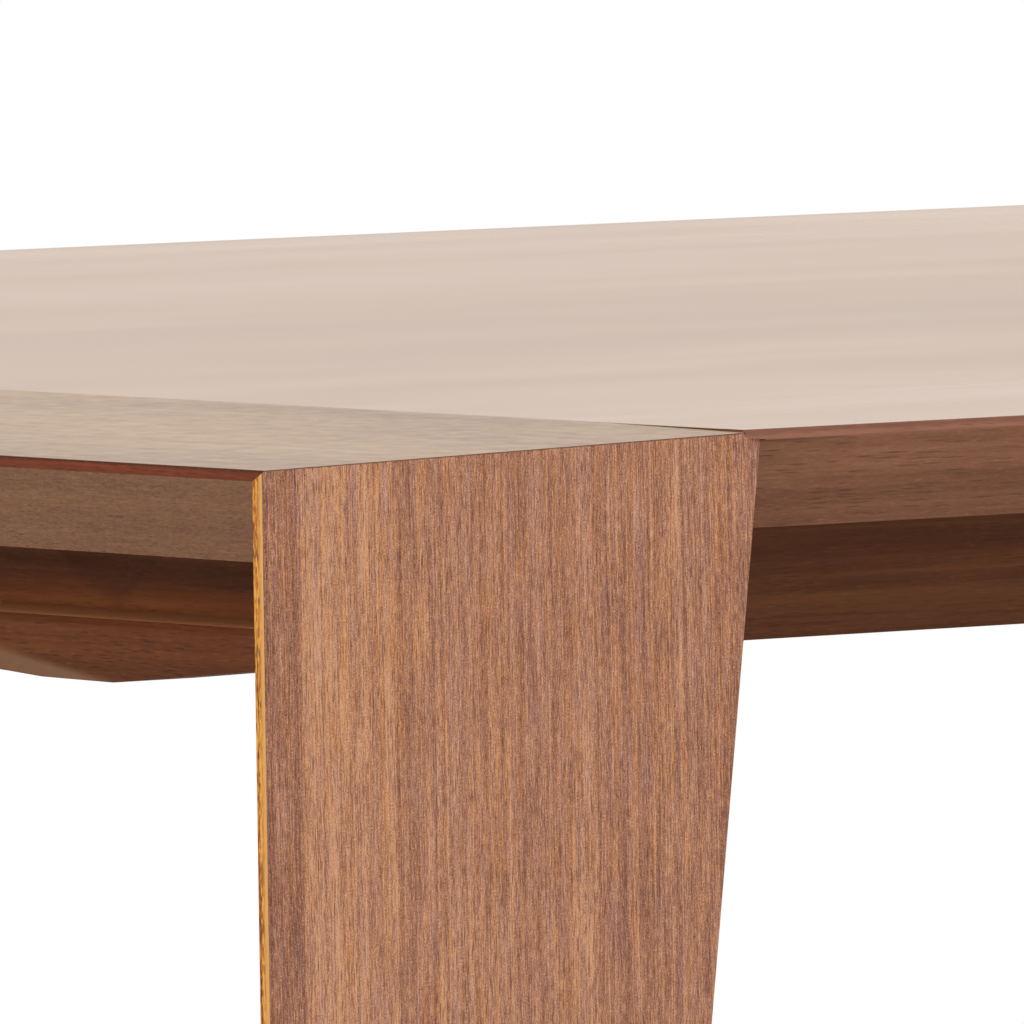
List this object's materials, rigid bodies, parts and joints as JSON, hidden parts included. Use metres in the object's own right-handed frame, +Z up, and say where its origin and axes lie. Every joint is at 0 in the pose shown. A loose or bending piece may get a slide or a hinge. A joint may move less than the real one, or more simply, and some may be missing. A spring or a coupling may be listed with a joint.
{
  "type": "dining table",
  "caption": "Walnut dining table with a bow-tie top whose widened end boards fold down into flat tapering blade legs on screw levelling feet.",
  "frame": {"origin": "on the floor under the middle of the top", "axes": "+X along the table's length, +Y across it, +Z up"},
  "size_m": [2, 0.9946, 0.75],
  "materials": {
    "walnut_top": "satin lacquer, grain along the table",
    "walnut_cross": "satin lacquer, grain across the table",
    "walnut_edge": "satin lacquer",
    "walnut_leg": "satin lacquer, upright grain",
    "golden_strip": "satin lacquer",
    "walnut_frame": "satin lacquer",
    "birch": "raw",
    "zinc_steel": "zinc plated",
    "brass": "turned",
    "nylon": "moulded"
  },
  "bodies": {
    "table": {"corner_block_front_left": "walnut_frame", "corner_block_front_right": "walnut_frame", "corner_block_rear_left": "walnut_frame", "corner_block_rear_right": "walnut_frame", "cross_rail_left": "walnut_frame", "cross_rail_middle": "walnut_frame", "cross_rail_right": "walnut_frame", "end_board_left": "walnut_cross", "end_board_right": "walnut_cross", "end_lipping_left": "walnut_edge", "end_lipping_right": "walnut_edge", "end_rail_left": "walnut_frame", "end_rail_right": "walnut_frame", "end_rail_screws": "zinc_steel", "foot_sleeves": "brass", "frame_dowels": "birch", "leg_bolts": "zinc_steel", "leg_front_left": "walnut_leg", "leg_front_right": "walnut_leg", "leg_inserts": "brass", "leg_rear_left": "walnut_leg", "leg_rear_right": "walnut_leg", "leg_strip_front_left": "golden_strip", "leg_strip_front_right": "golden_strip", "leg_strip_rear_left": "golden_strip", "leg_strip_rear_right": "golden_strip", "leg_washers": "zinc_steel", "long_lipping_front": "walnut_edge", "long_lipping_rear": "walnut_edge", "long_rail_front": "walnut_frame", "long_rail_rear": "walnut_frame", "lower_board_left": "walnut_frame", "lower_board_right": "walnut_frame", "lower_board_screws": "zinc_steel", "main_panel": "walnut_top", "rail_screws": "zinc_steel", "seam_plate_screws": "zinc_steel", "seam_plates": "zinc_steel", "seam_spline_left": "birch", "seam_spline_right": "birch"},
    "foot_front_left": {"foot_stem_front_left": "zinc_steel", "foot_pad_front_left": "nylon"},
    "foot_front_right": {"foot_stem_front_right": "zinc_steel", "foot_pad_front_right": "nylon"},
    "foot_rear_left": {"foot_stem_rear_left": "zinc_steel", "foot_pad_rear_left": "nylon"},
    "foot_rear_right": {"foot_stem_rear_right": "zinc_steel", "foot_pad_rear_right": "nylon"}
  },
  "joints": [
    {"name": "foot_front_left_screw", "type": "slide", "parent": "table", "child": "foot_front_left", "axis": [0, 0, -1], "range_m": [0, 0.008]},
    {"name": "foot_front_right_screw", "type": "slide", "parent": "table", "child": "foot_front_right", "axis": [0, 0, -1], "range_m": [0, 0.008]},
    {"name": "foot_rear_left_screw", "type": "slide", "parent": "table", "child": "foot_rear_left", "axis": [0, 0, -1], "range_m": [0, 0.008]},
    {"name": "foot_rear_right_screw", "type": "slide", "parent": "table", "child": "foot_rear_right", "axis": [0, 0, -1], "range_m": [0, 0.008]}
  ]
}
